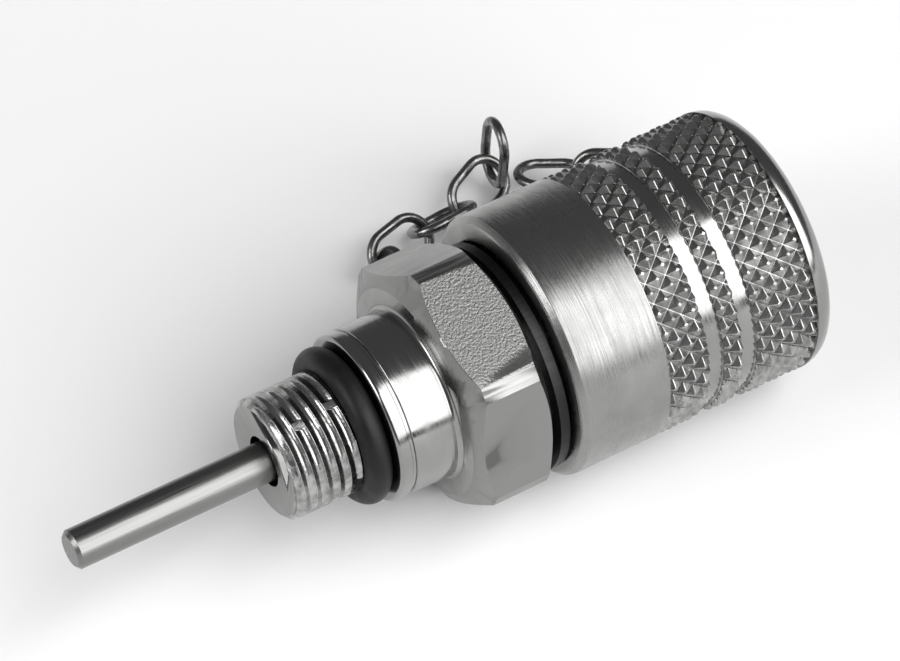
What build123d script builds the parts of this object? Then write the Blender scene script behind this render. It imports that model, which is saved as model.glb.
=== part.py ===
"""Pressure and temperature test point coupling with an M10x1 stud, lying on its side under its
screw-on protective cap. The coupling's axis is +X, with the stud's front face at x = 0, and +Z is up."""

import os
from math import cos, radians, sin, sqrt, tan

from build123d import *

os.makedirs("parts", exist_ok=True)

# ------------------------------------------------------------ driving dimensions, millimetres
# Clearances
running_clearance = 0.15
fit_clearance = 0.05

# Stud, with the groove of its O-ring
stud_radius = 5.0
stud_length = 8.0
stud_lead_in = 0.45
stud_groove_width = 2.3
stud_groove_slope = 0.4
stud_groove_radius = 4.2
stud_bore_radius = 2.1
stud_seal_wire = 1.1

# Collar and hex
collar_radius = 6.9
collar_length = 5.3
collar_edge = 0.35
mark_groove_width = 0.3
mark_groove_depth = 0.15
mark_groove_offset = 1.1
hex_across_flats = 19.0
hex_corner_break = 0.37
hex_length = 7.0
hex_roll = 20.3
hex_chamfer_angle = 30.0
hex_face_inset = 0.9

# Neck that carries the cap
neck_relief_radius = 7.4
neck_relief_length = 3.7
neck_relief_slope = 0.6
neck_radius = 7.9
neck_length = 20.7
neck_lead_in = 0.6

# Bores in the neck
chamber_start = 12.0
chamber_radius = 4.6
insert_start = 31.0
insert_bore_radius = 5.6
mouth_radius = 6.4
mouth_length = 1.6

# Immersion tube
tube_radius = 1.6
tube_wall = 0.45
tube_reach = 16.8
tube_tip_edge = 0.3
tube_end_wall = 0.8

# Valve seat insert, its seals and its retaining ring
insert_length = 6.0
port_radius = 3.0
seat_depth = 1.2
seal_wire = 0.4
seal_groove_width = 0.95
insert_seal_offset = 2.6
probe_seal_offset = 4.2
ring_thickness = 0.8
ring_groove_depth = 0.5
ring_width = 1.0
ring_opening = 30.0

# Poppet, its seal, its spring and the tube guide
poppet_radius = 3.9
poppet_length = 4.4
nose_radius = 2.5
nose_length = 4.2
nose_seal_wire = 0.35
nose_seal_offset = 1.7
nose_groove_width = 0.8
guide_thickness = 1.0
guide_lobe_radius = 0.5
guide_lobe_count = 4
spring_wire = 0.35
spring_radius = 3.3
spring_turns = 3.0

# Protective cap
cap_gap = 1.5
cap_length = 23.2
cap_over_hex = 0.25
cap_front_edge = 0.6
cap_counterbore_step = 0.9
cap_counterbore_length = 2.4
cap_end_wall = 2.8
cap_end_rounding = 1.9
grip_groove_offsets = (11.5, 14.5)
grip_groove_width = 1.35
grip_groove_depth = 0.55
grip_groove_slope = 0.25
gasket_inner_radius = 5.0

# Rivet, washer and swivel eye on the cap's end
shank_radius = 1.6
rivet_head_radius = 2.3
rivet_head_height = 1.3
rivet_foot_radius = 3.2
rivet_foot_height = 0.8
washer_radius = 4.0
washer_thickness = 0.6
eye_thickness = 0.7
eye_disc_radius = 3.2
eye_angle = -25.0

# Neck ring with its ear
neck_ring_thickness = 0.8
neck_ring_width = 1.35
ear_angle = -35.0

# Ear of the neck ring and of the swivel eye
ear_clearance = 1.45
ear_hole_radius = 1.2
ear_rim = 1.0
ear_arm_width = 2.6

# Chain of oval wire links
chain_wire = 0.4
link_length = 6.4
link_width = 4.5

# ------------------------------------------------------------ places along the axis
collar_end = stud_length + collar_length
hex_end = collar_end + hex_length
neck_end = hex_end + neck_length
relief_end = hex_end + neck_relief_length
groove_start = stud_length - stud_groove_width
insert_end = insert_start + insert_length
ring_groove_end = insert_end + ring_thickness + 2 * fit_clearance
cap_start = hex_end + cap_gap
cap_end = cap_start + cap_length
cap_floor = cap_end - cap_end_wall
cap_bore_radius = neck_radius + running_clearance
cap_counterbore_radius = cap_bore_radius + cap_counterbore_step
axle = Plane.YZ  # the plane across the coupling's axis

# ------------------------------------------------------------ radii that follow from one another
hex_corner_radius = hex_across_flats / sqrt(3) - hex_corner_break
hex_face_radius = hex_across_flats / 2 - hex_face_inset
cap_radius = hex_corner_radius + cap_over_hex
ear_reach = cap_radius + ear_clearance

# ------------------------------------------------------------ coupling body
chamfer_rise = (hex_corner_radius - hex_face_radius) * tan(radians(hex_chamfer_angle))
mark_start = stud_length + mark_groove_offset
with BuildPart() as coupling_body:
    with BuildSketch(axle.offset(collar_end)):
        RegularPolygon(hex_across_flats / 2, 6, major_radius=False, rotation=hex_roll)
    extrude(amount=hex_length)
    with BuildSketch(Plane.XY):
        with BuildLine():
            Polyline(
                (collar_end, 0),
                (collar_end, hex_face_radius),
                (collar_end + chamfer_rise, hex_corner_radius),
                (hex_end - chamfer_rise, hex_corner_radius),
                (hex_end, hex_face_radius),
                (hex_end, 0),
                close=True,
            )
        make_face()
    revolve(axis=Axis.X, mode=Mode.INTERSECT)
    with BuildSketch(Plane.XY):
        with BuildLine():
            Polyline(
                (0, 0),
                (0, stud_radius - stud_lead_in),
                (stud_lead_in, stud_radius),
                (groove_start, stud_radius),
                (groove_start + stud_groove_slope, stud_groove_radius),
                (stud_length, stud_groove_radius),
                (stud_length, collar_radius - collar_edge),
                (stud_length + collar_edge, collar_radius),
                (mark_start, collar_radius),
                (mark_start, collar_radius - mark_groove_depth),
                (mark_start + mark_groove_width, collar_radius - mark_groove_depth),
                (mark_start + mark_groove_width, collar_radius),
                (collar_end, collar_radius),
                (hex_end, neck_relief_radius),
                (relief_end, neck_relief_radius),
                (relief_end + neck_relief_slope, neck_radius),
                (neck_end - neck_lead_in, neck_radius),
                (neck_end, neck_radius - neck_lead_in),
                (neck_end, 0),
                close=True,
            )
        make_face()
    revolve(axis=Axis.X)
    with BuildSketch(Plane.XY):
        with BuildLine():
            Polyline(
                (0, 0),
                (0, stud_bore_radius),
                (chamber_start, stud_bore_radius),
                (chamber_start, chamber_radius),
                (insert_start, chamber_radius),
                (insert_start, insert_bore_radius),
                (insert_end, insert_bore_radius),
                (insert_end, insert_bore_radius + ring_groove_depth),
                (ring_groove_end, insert_bore_radius + ring_groove_depth),
                (ring_groove_end, insert_bore_radius),
                (neck_end - mouth_length, insert_bore_radius),
                (neck_end, mouth_radius),
                (neck_end, 0),
                close=True,
            )
        make_face()
    revolve(axis=Axis.X, mode=Mode.SUBTRACT)

# ------------------------------------------------------------ stud O-ring
stud_seal_place = axle.offset(stud_length - stud_seal_wire - fit_clearance)
with BuildPart() as stud_o_ring:
    with Locations(stud_seal_place):
        Torus(stud_groove_radius + stud_seal_wire + fit_clearance, stud_seal_wire)

# ------------------------------------------------------------ valve seat insert and its seals
insert_radius = insert_bore_radius - fit_clearance
insert_groove_radius = insert_radius - 2 * seal_wire
probe_groove_radius = port_radius + 1.7 * seal_wire
insert_seal_x = insert_start + insert_seal_offset
probe_seal_x = insert_start + probe_seal_offset
with BuildPart() as valve_seat:
    with BuildSketch(Plane.XY):
        with BuildLine():
            Polyline(
                (insert_start + fit_clearance, port_radius + seat_depth - fit_clearance),
                (insert_start + fit_clearance, insert_radius),
                (insert_end, insert_radius),
                (insert_end, port_radius),
                (insert_start + seat_depth, port_radius),
                close=True,
            )
        make_face()
        with Locations((insert_seal_x, insert_radius)):
            Rectangle(seal_groove_width, 2 * (insert_radius - insert_groove_radius), mode=Mode.SUBTRACT)
        with Locations((probe_seal_x, port_radius)):
            Rectangle(seal_groove_width, 2 * (probe_groove_radius - port_radius), mode=Mode.SUBTRACT)
    revolve(axis=Axis.X)

with BuildPart() as insert_seal:
    with Locations(axle.offset(insert_seal_x)):
        Torus(insert_radius - seal_wire, seal_wire - fit_clearance / 2)

with BuildPart() as probe_seal:
    with Locations(axle.offset(probe_seal_x)):
        Torus(probe_groove_radius - seal_wire, seal_wire - fit_clearance / 2)

# ------------------------------------------------------------ retaining ring
ring_outer_radius = insert_bore_radius + ring_groove_depth - fit_clearance
with BuildPart() as retaining_ring:
    with BuildSketch(axle.offset(insert_end + fit_clearance)):
        Circle(ring_outer_radius)
        Circle(ring_outer_radius - ring_width, mode=Mode.SUBTRACT)
        with BuildLine():
            Polyline(
                (0, 0),
                (2 * ring_outer_radius, 2 * ring_outer_radius * tan(radians(ring_opening / 2))),
                (2 * ring_outer_radius, -2 * ring_outer_radius * tan(radians(ring_opening / 2))),
                close=True,
            )
        make_face(mode=Mode.SUBTRACT)
    extrude(amount=ring_thickness)

# ------------------------------------------------------------ poppet with its seal
poppet_shoulder = insert_start + port_radius + seat_depth - poppet_radius - 2 * fit_clearance
poppet_start = poppet_shoulder - poppet_length
nose_start = poppet_shoulder + poppet_radius - nose_radius
nose_end = poppet_shoulder + nose_length
nose_seal_x = nose_start + nose_seal_offset
nose_groove_radius = port_radius - fit_clearance - 2 * nose_seal_wire
tube_fit_radius = tube_radius + fit_clearance
with BuildPart() as valve_poppet:
    with BuildSketch(Plane.XY):
        with BuildLine():
            Polyline(
                (poppet_start, tube_fit_radius),
                (poppet_start, poppet_radius),
                (poppet_shoulder, poppet_radius),
                (nose_start, nose_radius),
                (nose_seal_x - nose_groove_width / 2, nose_radius),
                (nose_seal_x - nose_groove_width / 2, nose_groove_radius),
                (nose_seal_x + nose_groove_width / 2, nose_groove_radius),
                (nose_seal_x + nose_groove_width / 2, nose_radius),
                (nose_end, nose_radius),
                (nose_end, tube_fit_radius),
                close=True,
            )
        make_face()
    revolve(axis=Axis.X)

with BuildPart() as poppet_seal:
    with Locations(axle.offset(nose_seal_x)):
        Torus(nose_groove_radius + nose_seal_wire, nose_seal_wire - fit_clearance / 2)

# ------------------------------------------------------------ immersion tube, closed at its tip
with BuildPart() as immersion_tube:
    with BuildSketch(Plane.XY):
        with BuildLine():
            Polyline(
                (-tube_reach, 0),
                (-tube_reach, tube_radius - tube_tip_edge),
                (-tube_reach + tube_tip_edge, tube_radius),
                (nose_end, tube_radius),
                (nose_end, tube_radius - tube_wall),
                (-tube_reach + tube_end_wall, tube_radius - tube_wall),
                (-tube_reach + tube_end_wall, 0),
                close=True,
            )
        make_face()
    revolve(axis=Axis.X)

# ------------------------------------------------------------ tube guide and valve spring
guide_hole_radius = tube_radius + running_clearance
with BuildPart() as tube_guide:
    with BuildSketch(axle.offset(chamber_start + fit_clearance)):
        Circle(chamber_radius - fit_clearance)
        Circle(guide_hole_radius, mode=Mode.SUBTRACT)
        with PolarLocations(guide_hole_radius, guide_lobe_count):
            Circle(guide_lobe_radius, mode=Mode.SUBTRACT)
    extrude(amount=guide_thickness)

spring_start = chamber_start + guide_thickness + 2 * fit_clearance + spring_wire
spring_length = poppet_start - fit_clearance - spring_wire - spring_start
with BuildPart() as valve_spring:
    with BuildLine():
        coil = Helix(spring_length / spring_turns, spring_length, spring_radius,
                     center=(spring_start, 0, 0), direction=(1, 0, 0))
    with BuildSketch(Plane(origin=coil @ 0, z_dir=coil % 0)):
        RegularPolygon(spring_wire, 6)
    sweep(is_frenet=True)

# ------------------------------------------------------------ protective cap and its gasket
edge_start = cap_end - cap_end_rounding
with BuildPart() as protective_cap:
    with BuildSketch(Plane.XY):
        with BuildLine():
            Polyline(
                (edge_start, cap_radius),
                (cap_start + cap_front_edge, cap_radius),
                (cap_start, cap_radius - cap_front_edge),
                (cap_start, cap_counterbore_radius),
                (cap_start + cap_counterbore_length, cap_counterbore_radius),
                (cap_start + cap_counterbore_length, cap_bore_radius),
                (cap_floor, cap_bore_radius),
                (cap_floor, shank_radius + fit_clearance),
                (cap_end, shank_radius + fit_clearance),
                (cap_end, cap_radius - cap_end_rounding),
            )
            RadiusArc((cap_end, cap_radius - cap_end_rounding), (edge_start, cap_radius), -cap_end_rounding)
        make_face()
        for offset_along in grip_groove_offsets:
            with BuildLine():
                Polyline(
                    (cap_start + offset_along, cap_radius),
                    (cap_start + offset_along + grip_groove_slope, cap_radius - grip_groove_depth),
                    (cap_start + offset_along + grip_groove_width - grip_groove_slope,
                     cap_radius - grip_groove_depth),
                    (cap_start + offset_along + grip_groove_width, cap_radius),
                    close=True,
                )
            make_face(mode=Mode.SUBTRACT)
    revolve(axis=Axis.X)

with BuildPart() as cap_gasket:
    with BuildSketch(axle.offset(neck_end + fit_clearance)):
        Circle(cap_bore_radius - fit_clearance)
        Circle(gasket_inner_radius, mode=Mode.SUBTRACT)
    extrude(amount=cap_floor - neck_end - 2 * fit_clearance)

# ------------------------------------------------------------ rivet, washer and swivel eye
washer_start = cap_end + fit_clearance
eye_start = washer_start + washer_thickness + fit_clearance
head_start = eye_start + eye_thickness + fit_clearance
foot_end = cap_floor - fit_clearance
with BuildPart() as cap_rivet:
    with BuildSketch(Plane.XY):
        with BuildLine():
            Polyline(
                (head_start + rivet_head_height, 0),
                (foot_end - rivet_foot_height, 0),
                (foot_end - rivet_foot_height, rivet_foot_radius),
                (foot_end, rivet_foot_radius),
                (foot_end, shank_radius),
                (head_start, shank_radius),
                (head_start, rivet_head_radius),
            )
            EllipticalCenterArc(
                (head_start, 0), rivet_head_height, rivet_head_radius, start_angle=0, arc_size=90
            )
        make_face()
    revolve(axis=Axis.X)

with BuildPart() as rivet_washer:
    with BuildSketch(axle.offset(washer_start)):
        Circle(washer_radius)
        Circle(shank_radius + fit_clearance, mode=Mode.SUBTRACT)
    extrude(amount=washer_thickness)

with BuildPart() as swivel_eye:
    with BuildSketch(axle.offset(eye_start)):
        Circle(eye_disc_radius)
        with PolarLocations(ear_reach, 1, start_angle=eye_angle):
            with Locations((-ear_reach / 2, 0)):
                Rectangle(ear_reach, ear_arm_width)
            Circle(ear_hole_radius + ear_rim)
            Circle(ear_hole_radius, mode=Mode.SUBTRACT)
        Circle(shank_radius + fit_clearance, mode=Mode.SUBTRACT)
    extrude(amount=eye_thickness)

# ------------------------------------------------------------ neck ring, hanging on the relief
ring_bore_radius = neck_radius + running_clearance
ring_drop = ring_bore_radius - neck_relief_radius - fit_clearance
ring_start = hex_end + (cap_gap - neck_ring_thickness) / 2
with BuildPart() as neck_ring:
    with BuildSketch(axle.offset(ring_start)):
        with Locations((0, -ring_drop)):
            Circle(ring_bore_radius + neck_ring_width)
        with PolarLocations(ear_reach, 1, start_angle=ear_angle):
            with Locations((-ear_arm_width, 0)):
                Rectangle(2 * ear_arm_width, ear_arm_width)
            Circle(ear_hole_radius + ear_rim)
            Circle(ear_hole_radius, mode=Mode.SUBTRACT)
        with Locations((0, -ring_drop)):
            Circle(ring_bore_radius, mode=Mode.SUBTRACT)
    extrude(amount=neck_ring_thickness)

# ------------------------------------------------------------ chain of oval wire links
# Each link is laid from one contact point to the next, then rolled about the line between them.
ring_ear = Vector(ring_start + neck_ring_thickness / 2,
                  ear_reach * cos(radians(ear_angle)), ear_reach * sin(radians(ear_angle)))
eye_ear = Vector(eye_start + eye_thickness / 2,
                 ear_reach * cos(radians(eye_angle)), ear_reach * sin(radians(eye_angle)))
ear_slack = ear_hole_radius
ground = -cap_radius  # the cap and the chain lie on it


def laid(ear, along, out, height):
    """A contact point of the chain, counted from an ear along and out from the axis, and from the ground."""
    return Vector(ear.X + along, ear.Y + out, ground + height)


first_run = (
    ring_ear + ear_slack * Vector(0, 0.95, -0.31),
    laid(ring_ear, -0.15, 5.5, 2.15),
    laid(ring_ear, 1.05, 9.6, 1.85),
    laid(ring_ear, 5.25, 10.6, 2.15),
    laid(ring_ear, 9.95, 11.5, 1.55),
    laid(ring_ear, 13.65, 13.1, 2.15),
    laid(ring_ear, 14.05, 13.2, 6.45),
)
first_rolls = (24, -53, 47, -42, 42, -100)
second_run = (
    laid(eye_ear, -9.85, 9.55, 3.25),
    laid(eye_ear, -5.85, 7.55, 2.95),
    laid(eye_ear, -2.25, 4.65, 3.45),
    eye_ear + ear_slack * Vector(0, 0.87, -0.5),
)
second_rolls = (-18, 64, -14)

bend_radius = (link_width - 2 * chain_wire) / 2
half_straight = (link_length - link_width) / 2
chain_links = []
for run, rolls in ((first_run, first_rolls), (second_run, second_rolls)):
    for start, finish, roll in zip(run, run[1:], rolls):
        along = (finish - start).normalized()
        level = along.cross(Vector(0, 0, 1))
        if level.length < 0.1:
            level = Vector(1, 0, 0)
        across = level.cross(along).rotate(Axis((0, 0, 0), along), roll)
        place = Plane(origin=(start + finish) / 2, x_dir=along, z_dir=across)
        with BuildPart() as chain_link:
            with BuildLine(place) as path:
                Line((-half_straight, -bend_radius), (half_straight, -bend_radius))
                CenterArc((half_straight, 0), bend_radius, -90, 180)
                Line((half_straight, bend_radius), (-half_straight, bend_radius))
                CenterArc((-half_straight, 0), bend_radius, 90, 180)
            with BuildSketch(Plane(origin=path.line @ 0, z_dir=path.line % 0)):
                Circle(chain_wire)
            sweep()
        chain_links.append(chain_link)

# ------------------------------------------------------------ export
subparts = {
    "coupling_body": coupling_body,
    "stud_o_ring": stud_o_ring,
    "valve_seat": valve_seat,
    "insert_seal": insert_seal,
    "probe_seal": probe_seal,
    "retaining_ring": retaining_ring,
    "valve_poppet": valve_poppet,
    "poppet_seal": poppet_seal,
    "immersion_tube": immersion_tube,
    "tube_guide": tube_guide,
    "valve_spring": valve_spring,
    "protective_cap": protective_cap,
    "cap_gasket": cap_gasket,
    "cap_rivet": cap_rivet,
    "rivet_washer": rivet_washer,
    "swivel_eye": swivel_eye,
    "neck_ring": neck_ring,
}
for number, chain_link in enumerate(chain_links, start=1):
    subparts[f"chain_link_{number:02d}"] = chain_link
for name, subpart in subparts.items():
    subpart.part.label = name
    export_step(subpart.part, f"parts/{name}.step")
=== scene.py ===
"""Looks of the test point coupling: zinc-plated steel with a knurled cap, a wire chain and a black O-ring."""

from math import cos, pi, radians, sin, tan

import bpy
from mathutils import Matrix, Vector


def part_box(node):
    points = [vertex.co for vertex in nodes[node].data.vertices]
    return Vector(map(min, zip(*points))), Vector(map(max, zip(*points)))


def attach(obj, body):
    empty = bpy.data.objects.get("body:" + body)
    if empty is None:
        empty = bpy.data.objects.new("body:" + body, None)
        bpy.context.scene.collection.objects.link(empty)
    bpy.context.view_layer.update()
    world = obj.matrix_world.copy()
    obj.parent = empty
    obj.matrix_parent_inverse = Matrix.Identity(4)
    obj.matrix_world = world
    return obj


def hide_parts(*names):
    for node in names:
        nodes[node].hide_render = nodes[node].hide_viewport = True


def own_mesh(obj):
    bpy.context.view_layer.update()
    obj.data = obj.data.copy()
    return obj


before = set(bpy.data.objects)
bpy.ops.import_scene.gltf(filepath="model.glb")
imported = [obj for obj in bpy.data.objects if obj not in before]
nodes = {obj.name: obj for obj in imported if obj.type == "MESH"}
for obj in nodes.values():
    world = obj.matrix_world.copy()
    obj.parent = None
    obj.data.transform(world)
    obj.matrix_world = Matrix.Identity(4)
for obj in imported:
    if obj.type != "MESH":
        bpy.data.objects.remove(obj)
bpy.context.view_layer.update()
MM = 0.001

# ------------------------------------------------------------ sizes, in millimetres
THREAD_PITCH = 1.0
THREAD_RADIUS = 5.0
THREAD_ROOT = 4.42
THREAD_END = 5.7
GROOVE_BOTTOM_WIDTH = 0.12
CREST_WIDTH = 0.125

COLLAR_START, COLLAR_RADIUS = 8.0, 6.9
COLLAR_CORE = 5.2  # the part of the body inside this radius is kept as it is
COLLAR_EDGE = 0.35
MARK_START, MARK_WIDTH, MARK_DEPTH = 9.1, 0.3, 0.15
MARK_EDGE = 0.06
MARK_SLOPE = 0.02
COLLAR_FILLET = 0.4

HEX_START, HEX_END = 13.3, 20.3
HEX_ROLL = 20.3  # degrees from the Z axis to the first corner
HEX_APOTHEM = 9.5
HEX_ROOT = 7.2  # the hex lies wholly outside this radius
STUD_ROOT = 4.0  # and the thread outside this one

NECK_CORE = 6.7  # the same for the neck
RELIEF_RADIUS, RELIEF_END = 7.4, 24.0
NECK_RADIUS, NECK_END = 7.9, 41.0
NECK_SLOPE = 0.6  # length of both the relief's slope and the lead-in

CUT_PAST = 0.1  # a cutter passes an open end by this much
CUT_SHORT = 0.05  # and stops this far from the hex
CUT_ABOVE = 1.0  # and stands this far out of the skin

KNURL_COUNT = 40  # diamonds round the cap
KNURL_ANGLE = 42.0  # slope of the diamonds' sides from the axis
KNURL_ROOT = 10.38
KNURL_EDGE = 0.045
GROOVE_STARTS = (11.5, 14.5)  # the cap's two plain grooves, from its front
GROOVE_WIDTH = 1.35
GROOVE_DEPTH = 0.55
SKIRT_LENGTH = 7.8
END_ROUNDING = 1.9
END_STEPS = 10
CAP_BORE = 8.05
CAP_COUNTERBORE = 8.95
COUNTERBORE_LENGTH = 2.4
END_WALL = 2.8
RIVET_HOLE = 1.65
CAP_EDGE = 0.6
BAND_SLOPE = 0.05  # length of the step at a band's end
ROUND_STEPS = 128

cap_low, cap_high = (Vector(corner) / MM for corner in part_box("protective_cap"))
CAP_RADIUS = cap_high.z
CAP_START, CAP_END = cap_low.x, cap_high.x


# ------------------------------------------------------------ modelling helpers
def deselect():
    """Leave nothing selected, so that an operator acts on its own piece alone."""
    if bpy.context.object and bpy.context.object.mode != "OBJECT":
        bpy.ops.object.mode_set(mode="OBJECT")
    bpy.ops.object.select_all(action="DESELECT")


def activate(piece):
    """Select one piece and make it the active one."""
    deselect()
    piece.select_set(True)
    bpy.context.view_layer.objects.active = piece


def settle(piece):
    """Put the piece's place into its mesh, with its object at the origin."""
    activate(piece)
    bpy.ops.object.transform_apply(location=True, rotation=True, scale=True)


def apply_modifiers(piece):
    """Apply every modifier of the piece in order."""
    activate(piece)
    for modifier in list(piece.modifiers):
        bpy.ops.object.modifier_apply(modifier=modifier.name)


def smooth(piece, degrees=30):
    """Shade the piece smooth, apart from edges sharper than the angle."""
    activate(piece)
    bpy.ops.object.shade_smooth_by_angle(angle=radians(degrees))


def copy_of(node, name):
    """A separate piece with a merged copy of a CAD node's mesh."""
    piece = bpy.data.objects.new(name, nodes[node].data.copy())
    bpy.context.scene.collection.objects.link(piece)
    activate(piece)
    bpy.ops.object.mode_set(mode="EDIT")
    bpy.ops.mesh.select_all(action="SELECT")
    bpy.ops.mesh.remove_doubles(threshold=1e-6)
    bpy.ops.object.mode_set(mode="OBJECT")
    piece.data.materials.clear()
    return piece


def turned(name, profile):
    """Turn a closed half profile of (x, r) corners, in millimetres, round the X axis."""
    deselect()
    bpy.ops.mesh.primitive_circle_add(vertices=len(profile), radius=MM)
    piece = bpy.context.object
    piece.name = piece.data.name = name
    for vertex, (x, r) in zip(piece.data.vertices, profile):
        vertex.co = (x * MM, 0, r * MM)
    spin = piece.modifiers.new("turn", "SCREW")
    spin.axis = "X"
    spin.steps = spin.render_steps = ROUND_STEPS
    spin.use_merge_vertices = True
    spin.merge_threshold = 1e-6
    apply_modifiers(piece)
    bpy.ops.object.mode_set(mode="EDIT")
    bpy.ops.mesh.select_all(action="SELECT")
    bpy.ops.mesh.remove_doubles(threshold=1e-6)
    bpy.ops.mesh.normals_make_consistent(inside=False)
    bpy.ops.object.mode_set(mode="OBJECT")
    return piece


def join(pieces, name):
    """Join several pieces into one."""
    activate(pieces[0])
    for piece in pieces:
        piece.select_set(True)
    bpy.ops.object.join()
    joined = bpy.context.object
    joined.name = joined.data.name = name
    return joined


# ------------------------------------------------------------ materials
def colour(code):
    """An sRGB hex colour as linear red, green, blue and alpha."""
    values = [int(code[i : i + 2], 16) / 255 for i in (1, 3, 5)]
    linear = [v / 12.92 if v <= 0.04045 else ((v + 0.055) / 1.055) ** 2.4 for v in values]
    return (*linear, 1.0)


def add(tree, kind, settings=None, links=None):
    """Add a node with its settings: attributes by name, inputs by name or number, and links by input."""
    node = tree.nodes.new(kind)
    for key, value in (settings or {}).items():
        if isinstance(key, str) and hasattr(node, key):
            setattr(node, key, value)
        else:
            node.inputs[key].default_value = value
    for key, output in (links or {}).items():
        tree.links.new(output, node.inputs[key])
    return node


def new_material(name):
    """An empty node material and its tree, with the surface and object coordinates ready."""
    material = bpy.data.materials.new(name)
    material.use_nodes = True
    tree = material.node_tree
    surface = tree.nodes["Principled BSDF"]
    place = add(tree, "ShaderNodeTexCoord").outputs["Object"]
    return material, tree, surface, place


def ramp(tree, value, low, high, first=0.0, last=1.0):
    """Map value from low..high to first..last, clamped."""
    settings = {"From Min": low, "From Max": high, "To Min": first, "To Max": last}
    return add(tree, "ShaderNodeMapRange", settings, {"Value": value}).outputs["Result"]


def around_axis(tree, place):
    """Coordinates that follow a turned surface: along the axis, round it, and the radius, in metres."""
    parts = add(tree, "ShaderNodeSeparateXYZ", links={0: place}).outputs
    angle = add(tree, "ShaderNodeMath", {"operation": "ARCTAN2"}, {0: parts["Y"], 1: parts["Z"]}).outputs[0]
    arc = add(tree, "ShaderNodeMath", {"operation": "MULTIPLY", 1: 10 * MM}, {0: angle}).outputs[0]
    return parts["X"], arc


def turning_lines(tree, place, spacing, streak):
    """Noise drawn out round the axis into fine tool lines, by their spacing and length in mm."""
    along, arc = around_axis(tree, place)
    lines = add(tree, "ShaderNodeCombineXYZ", links={0: along, 1: arc}).outputs[0]
    scale = (1 / (spacing * MM), 1 / (streak * MM), 1)
    stretch = add(tree, "ShaderNodeMapping", {"Scale": scale}, {0: lines}).outputs[0]
    settings = {"Scale": 1.0, "Detail": 3.0, "Roughness": 0.6}
    return add(tree, "ShaderNodeTexNoise", settings, {0: stretch}).outputs[0]


def speckle(tree, place, size, detail=3.0):
    """Even noise with grains of the given size, in mm."""
    settings = {"Scale": 1 / (size * MM), "Detail": detail}
    return add(tree, "ShaderNodeTexNoise", settings, {0: place}).outputs[0]


def bump(tree, surface, height, depth, strength=1.0):
    """Raise the surface by height times depth, in mm."""
    relief = add(tree, "ShaderNodeBump", {"Strength": strength, "Distance": depth * MM}, {"Height": height})
    tree.links.new(relief.outputs[0], surface.inputs["Normal"])


def metal(surface, shade, roughness):
    """Set a bare or plated metal's colour and polish."""
    surface.inputs["Base Color"].default_value = colour(shade)
    surface.inputs["Metallic"].default_value = 1.0
    surface.inputs["Roughness"].default_value = roughness


def turned_zinc(name, shade, roughness, spacing, streak, depth):
    """Zinc-plated free-cutting steel off a lathe: fine rings round the axis that stretch the highlights."""
    material, tree, surface, place = new_material(name)
    metal(surface, shade, roughness)
    lines = turning_lines(tree, place, spacing, streak)
    patches = speckle(tree, place, 3.0)
    rough = add(tree, "ShaderNodeMath", {"operation": "ADD"}, {
        0: ramp(tree, lines, 0.3, 0.7, roughness - 0.06, roughness + 0.08),
        1: ramp(tree, patches, 0.35, 0.65, -0.03, 0.05)}).outputs[0]
    tree.links.new(rough, surface.inputs["Roughness"])
    tint = add(tree, "ShaderNodeMix", {"data_type": "RGBA"}, {"Factor": ramp(tree, patches, 0.3, 0.7)})
    tint.inputs[6].default_value = colour(shade)
    tint.inputs[7].default_value = [0.82 * v for v in colour(shade)[:3]] + [1.0]
    tree.links.new(tint.outputs[2], surface.inputs["Base Color"])
    bump(tree, surface, lines, depth)
    return material


def stamped_hex(name, shade, roughness, flat_angle, flat_distance):
    """Plated hex bar: the flats have faint drag marks, and the one at flat_angle is grained by a die."""
    material, tree, surface, place = new_material(name)
    metal(surface, shade, roughness)
    normal = (0, cos(radians(flat_angle)), sin(radians(flat_angle)))
    height = add(tree, "ShaderNodeVectorMath", {"operation": "DOT_PRODUCT", 1: normal}, {0: place})
    on_flat = ramp(tree, height.outputs["Value"], (flat_distance - 0.06) * MM, (flat_distance - 0.02) * MM)
    grain = speckle(tree, place, 0.2, 4.0)
    drag = add(tree, "ShaderNodeMapping", {"Rotation": (0.3, 0, 0.35), "Scale": (400, 3500, 1200)},
               {0: place})
    marks = add(tree, "ShaderNodeTexNoise", {"Scale": 1.0, "Detail": 2.0}, {0: drag.outputs[0]}).outputs[0]
    faint = add(tree, "ShaderNodeMath", {"operation": "MULTIPLY", 1: 0.3}, {0: marks}).outputs[0]
    height_mix = add(tree, "ShaderNodeMix", {}, {"Factor": on_flat, "A": faint, "B": grain})
    bump(tree, surface, height_mix.outputs[0], 0.05)
    rough = add(tree, "ShaderNodeMix", {}, {
        "Factor": on_flat, "A": ramp(tree, marks, 0.3, 0.7, roughness, roughness + 0.1),
        "B": ramp(tree, grain, 0.3, 0.7, 0.3, 0.45)})
    tree.links.new(rough.outputs[0], surface.inputs["Roughness"])
    return material


def drawn_steel(name, shade, roughness):
    """Stainless tube or wire, drawn through a die: long fine lines along the axis, little relief."""
    material, tree, surface, place = new_material(name)
    metal(surface, shade, roughness)
    stretch = add(tree, "ShaderNodeMapping", {"Scale": (150, 6000, 6000)}, {0: place}).outputs[0]
    lines = add(tree, "ShaderNodeTexNoise", {"Scale": 1.0, "Detail": 3.0}, {0: stretch}).outputs[0]
    rough = ramp(tree, lines, 0.3, 0.7, roughness - 0.05, roughness + 0.1)
    tree.links.new(rough, surface.inputs["Roughness"])
    bump(tree, surface, lines, 0.01)
    return material


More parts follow.
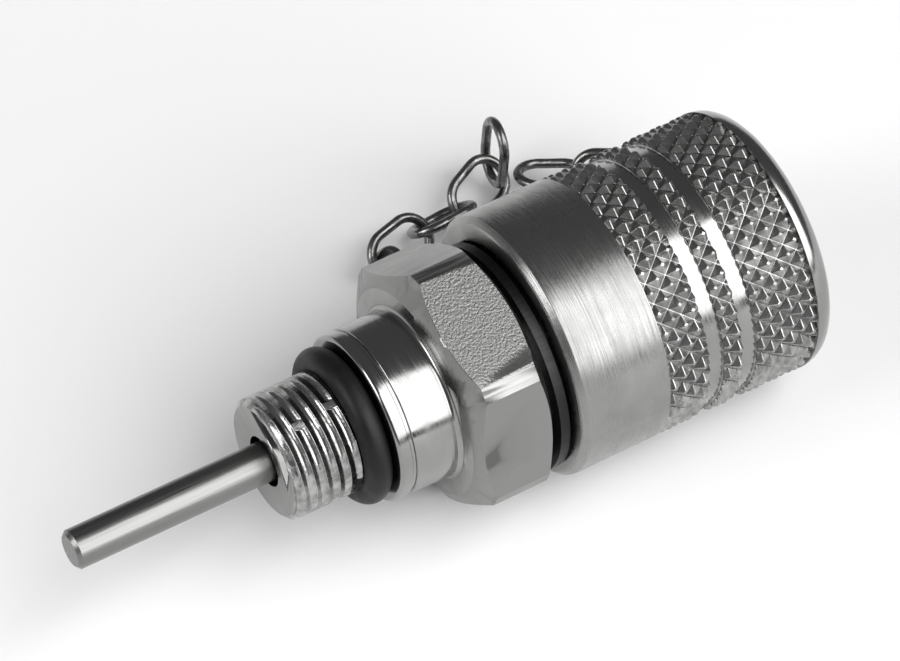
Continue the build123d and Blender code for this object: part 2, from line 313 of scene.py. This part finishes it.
def plated_wire(name, shade, roughness):
    """Bent and tumbled steel wire: dull plating with small dents and rubbed spots."""
    material, tree, surface, place = new_material(name)
    metal(surface, shade, roughness)
    dents = speckle(tree, place, 0.9)
    rubbed = add(tree, "ShaderNodeMix", {"data_type": "RGBA"}, {"Factor": ramp(tree, dents, 0.35, 0.65)})
    rubbed.inputs[6].default_value = [0.55 * v for v in colour(shade)[:3]] + [1.0]
    rubbed.inputs[7].default_value = colour(shade)
    tree.links.new(rubbed.outputs[2], surface.inputs["Base Color"])
    rough = ramp(tree, dents, 0.3, 0.7, roughness + 0.12, roughness - 0.05)
    tree.links.new(rough, surface.inputs["Roughness"])
    bump(tree, surface, dents, 0.05)
    return material


def moulded_nitrile(name):
    """Black nitrile rubber, moulded and slightly bloomed: matt with a soft broad sheen."""
    material, tree, surface, place = new_material(name)
    surface.inputs["Base Color"].default_value = colour("#0F0F10")
    surface.inputs["Specular IOR Level"].default_value = 0.3
    surface.inputs["Roughness"].default_value = 0.5
    bloom = speckle(tree, place, 1.4)
    tree.links.new(ramp(tree, bloom, 0.3, 0.7, 0.42, 0.58), surface.inputs["Roughness"])
    bump(tree, surface, speckle(tree, place, 0.12), 0.01)
    return material


skirt_zinc = turned_zinc("turned zinc skirt", "#989897", 0.26, 0.09, 26.0, 0.045)
groove_zinc = turned_zinc("turned zinc collar", "#9B9B9A", 0.17, 0.25, 40.0, 0.008)
knurl_zinc = plated_wire("rolled zinc knurl", "#ACACAB", 0.25)
thread_zinc = plated_wire("rolled zinc thread", "#B4B4B3", 0.22)
hex_zinc = stamped_hex("plated hex bar", "#8B8B8A", 0.27, HEX_ROLL + 90, HEX_APOTHEM)
tube_steel = drawn_steel("drawn stainless tube", "#7F7F7E", 0.3)
spring_steel = drawn_steel("drawn spring wire", "#6E6E6E", 0.3)
# painted shade: the neck ring's colour is darkened far below plated steel to stand for the shadow in the gap
# between the hex and the cap
gap_shade_steel = drawn_steel("strap darkened as painted shade", "#353535", 0.42)
plain_steel = turned_zinc("turned stainless", "#9C9C9B", 0.22, 0.2, 20.0, 0.008)
chain_steel = plated_wire("plated chain wire", "#8C8C8B", 0.26)
rubber = moulded_nitrile("black nitrile rubber")


def paint(piece, *materials):
    """Give the piece these materials, first one first."""
    piece.data.materials.clear()
    for material in materials:
        piece.data.materials.append(material)


def finish(piece, body, node):
    """Let the piece ride on its body in place of a CAD node."""
    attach(piece, body)
    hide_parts(node)


# ------------------------------------------------------------ coupling body with its cut thread
def thread_cutter():
    """One helical V groove, wound along the stud, to cut the thread with."""
    start = -2 * THREAD_PITCH
    turns = int(THREAD_END / THREAD_PITCH) + 4
    slope = (THREAD_PITCH - CREST_WIDTH - GROOVE_BOTTOM_WIDTH) / 2 / (THREAD_RADIUS - THREAD_ROOT)
    top = THREAD_RADIUS + 0.3
    top_half_width = GROOVE_BOTTOM_WIDTH / 2 + slope * (top - THREAD_ROOT)
    deselect()
    bpy.ops.mesh.primitive_circle_add(vertices=4, radius=MM)
    cutter = bpy.context.object
    corners = ((-top_half_width, top), (-GROOVE_BOTTOM_WIDTH / 2, THREAD_ROOT),
               (GROOVE_BOTTOM_WIDTH / 2, THREAD_ROOT), (top_half_width, top))
    for vertex, (x, r) in zip(cutter.data.vertices, corners):
        vertex.co = ((start + x) * MM, 0, r * MM)
    activate(cutter)
    bpy.ops.object.mode_set(mode="EDIT")
    bpy.ops.mesh.select_all(action="SELECT")
    bpy.ops.mesh.edge_face_add()
    bpy.ops.object.mode_set(mode="OBJECT")
    coil = cutter.modifiers.new("wind", "SCREW")
    coil.axis = "X"
    coil.screw_offset = THREAD_PITCH * MM
    coil.iterations = turns
    coil.steps = coil.render_steps = 72
    coil.use_normal_calculate = True
    apply_modifiers(cutter)
    bpy.ops.object.mode_set(mode="EDIT")
    bpy.ops.mesh.select_all(action="SELECT")
    bpy.ops.mesh.remove_doubles(threshold=1e-7)
    bpy.ops.mesh.normals_make_consistent(inside=False)
    bpy.ops.object.mode_set(mode="OBJECT")
    return cutter


def cut_away_beyond(piece, x, keep_below):
    """Cut the piece square at x, in millimetres, and keep one side of it."""
    activate(piece)
    bpy.ops.object.mode_set(mode="EDIT")
    bpy.ops.mesh.select_all(action="SELECT")
    bpy.ops.mesh.bisect(plane_co=(x * MM, 0, 0), plane_no=(1, 0, 0), use_fill=True,
                        clear_outer=keep_below, clear_inner=not keep_below)
    bpy.ops.object.mode_set(mode="OBJECT")


def trim(piece, tool):
    """Cut the tool out of the piece and remove the tool."""
    cut = piece.modifiers.new("cut", "BOOLEAN")
    cut.operation = "DIFFERENCE"
    cut.solver = "EXACT"
    cut.object = tool
    apply_modifiers(piece)
    bpy.data.objects.remove(tool)


def even_flats(piece):
    """Join the triangles of each flat face, so that no seam shows in it."""
    activate(piece)
    bpy.ops.object.mode_set(mode="EDIT")
    bpy.ops.mesh.select_all(action="SELECT")
    bpy.ops.mesh.dissolve_degenerate(threshold=1e-6)
    bpy.ops.mesh.dissolve_limited(angle_limit=radians(0.4))
    bpy.ops.object.mode_set(mode="OBJECT")


def quarter(x, r, radius, first, steps=6):
    """Corners of a quarter round about (x, r), from the first angle down, in degrees up from +X."""
    turns = [radians(first - 90 * step / steps) for step in range(steps + 1)]
    return [(x + radius * cos(turn), r + radius * sin(turn)) for turn in turns]


def make_collar():
    """The collar's skin: a rounded front lip, a fine ring groove and a fillet up to the hex."""
    top, low = COLLAR_RADIUS, COLLAR_RADIUS - MARK_DEPTH
    mark_end = MARK_START + MARK_WIDTH
    outline = [(COLLAR_START, COLLAR_CORE)]
    outline += quarter(COLLAR_START + COLLAR_EDGE, top - COLLAR_EDGE, COLLAR_EDGE, 180)
    outline += [(MARK_START - MARK_EDGE, top), (MARK_START, top - MARK_EDGE), (MARK_START + MARK_SLOPE, low),
                (mark_end - MARK_SLOPE, low), (mark_end, top - MARK_EDGE), (mark_end + MARK_EDGE, top)]
    outline += [(x, 2 * (top + COLLAR_FILLET) - r) for x, r in
                quarter(HEX_START - COLLAR_FILLET, top + COLLAR_FILLET, COLLAR_FILLET, 90)]
    outline.append((HEX_START, COLLAR_CORE))
    return turned("collar skin", outline)


def make_neck():
    """The neck's skin: the relief behind the hex, the plain length that guides the cap, and a lead-in."""
    return turned("neck skin", [
        (HEX_END, NECK_CORE), (HEX_END, RELIEF_RADIUS), (RELIEF_END, RELIEF_RADIUS),
        (RELIEF_END + NECK_SLOPE, NECK_RADIUS), (NECK_END - NECK_SLOPE, NECK_RADIUS),
        (NECK_END, NECK_RADIUS - NECK_SLOPE), (NECK_END, NECK_CORE)])


def ring_cutter(start, end, core, outside):
    """A ring that cuts the body's skin away between two places along the axis, down to a core."""
    return turned("ring cutter", [(start, core), (start, outside), (end, outside), (end, core)])


def make_body():
    """The turned body, with the stud's thread cut in it and a material for each of its zones."""
    piece = copy_of("coupling_body", "coupling_body_dressed")
    cutter = thread_cutter()
    cut_away_beyond(cutter, THREAD_END + 0.15, keep_below=True)
    trim(piece, cutter)
    trim(piece, ring_cutter(COLLAR_START - CUT_PAST, HEX_START - CUT_SHORT, COLLAR_CORE,
                            COLLAR_RADIUS + CUT_ABOVE))
    trim(piece, ring_cutter(HEX_END + CUT_SHORT, NECK_END + CUT_PAST, NECK_CORE, NECK_RADIUS + CUT_ABOVE))
    even_flats(piece)
    piece = join([piece, make_collar(), make_neck()], "coupling_body_dressed")
    paint(piece, groove_zinc, thread_zinc, hex_zinc)
    for face in piece.data.polygons:
        middle = face.center / MM
        if middle.x < THREAD_END + 0.5 and Vector(middle.yz).length > STUD_ROOT:
            face.material_index = 1
        elif HEX_START - 0.1 < middle.x < HEX_END + 0.1 and Vector(middle.yz).length > HEX_ROOT:
            face.material_index = 2
    smooth(piece, 25)
    finish(piece, "coupling", "coupling_body")


# ------------------------------------------------------------ protective cap with its knurl
def knurl_diamond(around, along, depth):
    """One raised diamond, as high as the knurl is deep, with a small flat top and broken edges."""
    deselect()
    bpy.ops.mesh.primitive_cone_add(vertices=4, radius1=1, radius2=0.2, depth=1)
    diamond = bpy.context.object
    diamond.scale = (along * MM, around * MM, depth * MM)
    diamond.location.z = depth * MM / 2
    settle(diamond)
    edges = diamond.modifiers.new("broken edges", "BEVEL")
    edges.width = KNURL_EDGE * MM
    edges.segments = 1
    apply_modifiers(diamond)
    return diamond


def knurl_band(start, end):
    """The diamonds of one band between two places along the axis, cut square at both."""
    around = 2 * pi * KNURL_ROOT / KNURL_COUNT
    period = around / tan(radians(KNURL_ANGLE))
    depth = CAP_RADIUS - KNURL_ROOT
    model = knurl_diamond(around / 2, period / 2, depth)
    copies = []
    for row in range(int(2 * (end - start) / period) + 3):
        x = start + (row - 0.5) * period / 2
        for place in range(KNURL_COUNT):
            angle = 2 * pi * (place + row % 2 / 2) / KNURL_COUNT
            copy = bpy.data.objects.new("diamond", model.data.copy())
            bpy.context.scene.collection.objects.link(copy)
            turn = Matrix.Rotation(angle, 4, "X")
            copy.data.transform(turn @ Matrix.Translation((x * MM, 0, KNURL_ROOT * MM)))
            copies.append(copy)
    bpy.data.objects.remove(model)
    band = join(copies, "knurl band")
    cut_away_beyond(band, start, keep_below=False)
    cut_away_beyond(band, end, keep_below=True)
    return band


def make_cap():
    """The cap: turned skirt, two plain grooves, three knurled bands and a rounded end."""
    grooves = [(CAP_START + start, CAP_START + start + GROOVE_WIDTH) for start in GROOVE_STARTS]
    groove_radius = CAP_RADIUS - GROOVE_DEPTH
    bands = [(CAP_START + SKIRT_LENGTH, grooves[0][0]), (grooves[0][1], grooves[1][0]),
             (grooves[1][1], CAP_END - END_ROUNDING)]
    # the front edge is a chamfer with softened corners
    outline = [(CAP_START, CAP_COUNTERBORE), (CAP_START, CAP_RADIUS - CAP_EDGE),
               (CAP_START + 0.12, CAP_RADIUS - CAP_EDGE + 0.22),
               (CAP_START + CAP_EDGE - 0.1, CAP_RADIUS - 0.04), (CAP_START + CAP_EDGE + 0.1, CAP_RADIUS),
               (bands[0][0] - BAND_SLOPE, CAP_RADIUS)]
    for number, (start, end) in enumerate(bands):
        outline += [(start, KNURL_ROOT), (end, KNURL_ROOT)]
        if number < 2:
            outline += [(end + BAND_SLOPE, groove_radius), (bands[number + 1][0] - BAND_SLOPE, groove_radius)]
    for step in range(END_STEPS + 1):
        bend = step / END_STEPS * pi / 2
        outline.append((CAP_END - END_ROUNDING + END_ROUNDING * sin(bend),
                        CAP_RADIUS - END_ROUNDING + END_ROUNDING * cos(bend)))
    outline += [(CAP_END, RIVET_HOLE), (CAP_END - END_WALL, RIVET_HOLE), (CAP_END - END_WALL, CAP_BORE),
                (CAP_START + COUNTERBORE_LENGTH, CAP_BORE),
                (CAP_START + COUNTERBORE_LENGTH, CAP_COUNTERBORE)]
    shell = turned("cap shell", outline)
    paint(shell, skirt_zinc, knurl_zinc, groove_zinc)
    for face in shell.data.polygons:
        x = face.center.x / MM
        if any(start - 0.1 < x < end + 0.1 for start, end in bands):
            face.material_index = 1
        elif x > bands[0][0]:
            face.material_index = 2
    smooth(shell, 30)
    diamonds = join([knurl_band(start, end) for start, end in bands], "cap knurl")
    paint(diamonds, knurl_zinc)
    finish(shell, "cap", "protective_cap")
    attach(diamonds, "cap")
    shell.name = "protective_cap_dressed"
    diamonds.name = "cap_knurl"


def make_spring():
    """The valve spring, which the poppet presses shorter as the valve opens."""
    piece = copy_of("valve_spring", "valve_spring_dressed")
    paint(piece, spring_steel)
    smooth(piece, 40)
    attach(piece, "coupling")
    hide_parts("valve_spring")
    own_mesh(piece)


make_body()
make_cap()
make_spring()

# ------------------------------------------------------------ finishes of the pieces kept from the frame
FINISHES = {
    "stud_o_ring": rubber, "insert_seal": rubber, "probe_seal": rubber, "poppet_seal": rubber,
    "cap_gasket": rubber,
    "immersion_tube": tube_steel, "retaining_ring": spring_steel,
    "valve_seat": plain_steel, "valve_poppet": plain_steel, "tube_guide": plain_steel,
    "cap_rivet": groove_zinc, "rivet_washer": groove_zinc, "swivel_eye": plain_steel,
    # the neck ring gets the darkened colour, which is painted shade of the gap it sits in
    "neck_ring": gap_shade_steel,
}
for name, node in nodes.items():
    material = chain_steel if name.startswith("chain_link") else FINISHES.get(name)
    if material:
        for material_slot in node.material_slots:
            material_slot.material = material

# ------------------------------------------------------------ floor, light and camera
deselect()
bpy.ops.mesh.primitive_plane_add(size=3.0, location=(0.02, 0, -CAP_RADIUS * MM))
floor = bpy.context.object
floor.name = "floor"
settle(floor)
floor_material, _, floor_surface, _ = new_material("matt white floor")
floor_surface.inputs["Base Color"].default_value = colour("#F4F4F4")
floor_surface.inputs["Roughness"].default_value = 0.9
paint(floor, floor_material)

world = bpy.data.worlds.new("dim room")
world.use_nodes = True
world.node_tree.nodes["Background"].inputs["Color"].default_value = colour("#808080")
world.node_tree.nodes["Background"].inputs["Strength"].default_value = 0.6
bpy.context.scene.world = world

TARGET = Vector((18.0, 2.5, 1.9)) * MM


def softbox(name, direction, distance, size, power):
    """A square soft lamp that faces the object from a direction."""
    data = bpy.data.lights.new(name, "AREA")
    data.size = size
    data.energy = power
    lamp = bpy.data.objects.new(name, data)
    bpy.context.scene.collection.objects.link(lamp)
    lamp.location = TARGET + Vector(direction).normalized() * distance
    lamp.rotation_euler = (TARGET - lamp.location).to_track_quat("-Z", "Y").to_euler()
    return lamp


softbox("front softbox", (0.345, -0.686, 0.64), 0.8, 1.0, 12.0)
softbox("left softbox", (-0.9, 0.1, 0.5), 0.9, 0.45, 3.5)

VIEW = Vector((0.345, 0.564, -0.750)).normalized()
camera_data = bpy.data.cameras.new("camera")
camera_data.lens = 256
camera = bpy.data.objects.new("camera", camera_data)
bpy.context.scene.collection.objects.link(camera)
camera.location = TARGET - VIEW * 0.49
camera.rotation_euler = VIEW.to_track_quat("-Z", "Y").to_euler()
bpy.context.scene.camera = camera
bpy.context.scene.view_settings.view_transform = "Standard"
